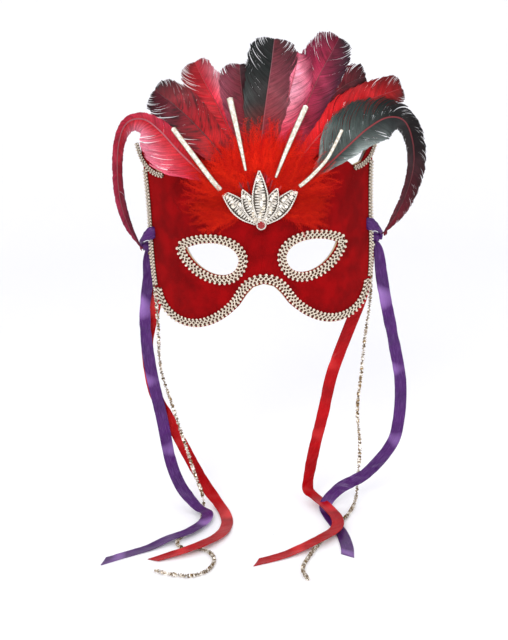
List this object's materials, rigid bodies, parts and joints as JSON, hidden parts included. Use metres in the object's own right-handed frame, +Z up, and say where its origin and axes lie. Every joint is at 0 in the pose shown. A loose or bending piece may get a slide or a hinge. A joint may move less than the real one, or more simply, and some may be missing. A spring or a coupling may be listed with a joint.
{
  "type": "venetian masquerade mask",
  "caption": "Red velvet half mask with looped braid edges, lotus brooch, feather plume, pale sequin rays and ribbon ties that hang from each side edge",
  "frame": {"origin": "on the lining inside the bridge of the nose, where the mask rests on the wearer", "axes": "front of the mask faces -Y and the wearer is on +Y; +Z is up; +X is to the right as seen from the front"},
  "size_m": [0.2651, 0.1525, 0.3963],
  "materials": {
    "card": "moulded card, matte",
    "velvet": "short pile velvet, deep red",
    "lining_felt": "thin pale lilac-grey felt",
    "red_felt": "red felt patch",
    "gimp_braid": "silver-gold metallic thread braid",
    "applique_gold": "silver-gold metallic cord and lame",
    "red_stone": "faceted acrylic stone",
    "ray_sequin": "pearl white sequin tape",
    "dyed_feather": "dyed cock feathers, red to black-green",
    "marabou": "red marabou down",
    "purple_satin": "purple satin ribbon",
    "red_satin": "red satin ribbon",
    "string_sequin": "silver-gold cup sequins on a thread"
  },
  "bodies": {
    "mask": {"mask_shell": "card", "velvet_cover": "velvet", "face_lining": "lining_felt", "eye_trim_left": "gimp_braid", "eye_trim_right": "gimp_braid", "lower_edge_trim": "gimp_braid", "side_trim_left": "gimp_braid", "side_trim_right": "gimp_braid", "corner_trim_left": "gimp_braid", "corner_trim_right": "gimp_braid", "brooch_backing": "applique_gold", "brooch_leaf_centre": "applique_gold", "brooch_leaf_inner_left": "applique_gold", "brooch_leaf_inner_right": "applique_gold", "brooch_leaf_outer_left": "applique_gold", "brooch_leaf_outer_right": "applique_gold", "gem_setting": "applique_gold", "brooch_gem": "red_stone", "ray_outer_left": "ray_sequin", "ray_inner_left": "ray_sequin", "ray_inner_right": "ray_sequin", "ray_outer_right": "ray_sequin", "feather_pad": "red_felt", "feather_01": "dyed_feather", "feather_02": "dyed_feather", "feather_03": "dyed_feather", "feather_04": "dyed_feather", "feather_05": "dyed_feather", "feather_06": "dyed_feather", "feather_07": "dyed_feather", "feather_08": "dyed_feather", "feather_09": "dyed_feather", "feather_10": "dyed_feather", "feather_11": "dyed_feather", "marabou_puff": "marabou", "tie_loop_left": "purple_satin", "tie_loop_right": "purple_satin"},
    "left_ties": {"knot_left": "purple_satin", "purple_ribbon_left": "purple_satin", "red_ribbon_left": "red_satin", "sequin_string_left": "string_sequin"},
    "right_ties": {"knot_right": "purple_satin", "purple_ribbon_right": "purple_satin", "red_ribbon_right": "red_satin", "sequin_string_right": "string_sequin"}
  },
  "joints": [
    {"name": "left_ties_swing", "type": "hinge", "parent": "mask", "child": "left_ties", "pos_m": [-0.0935, 0.05632, 0.008], "axis": [1, 0, 0], "range_deg": [0, 90]},
    {"name": "right_ties_swing", "type": "hinge", "parent": "mask", "child": "right_ties", "pos_m": [0.0935, 0.05632, 0.008], "axis": [1, 0, 0], "range_deg": [0, 90]}
  ]
}
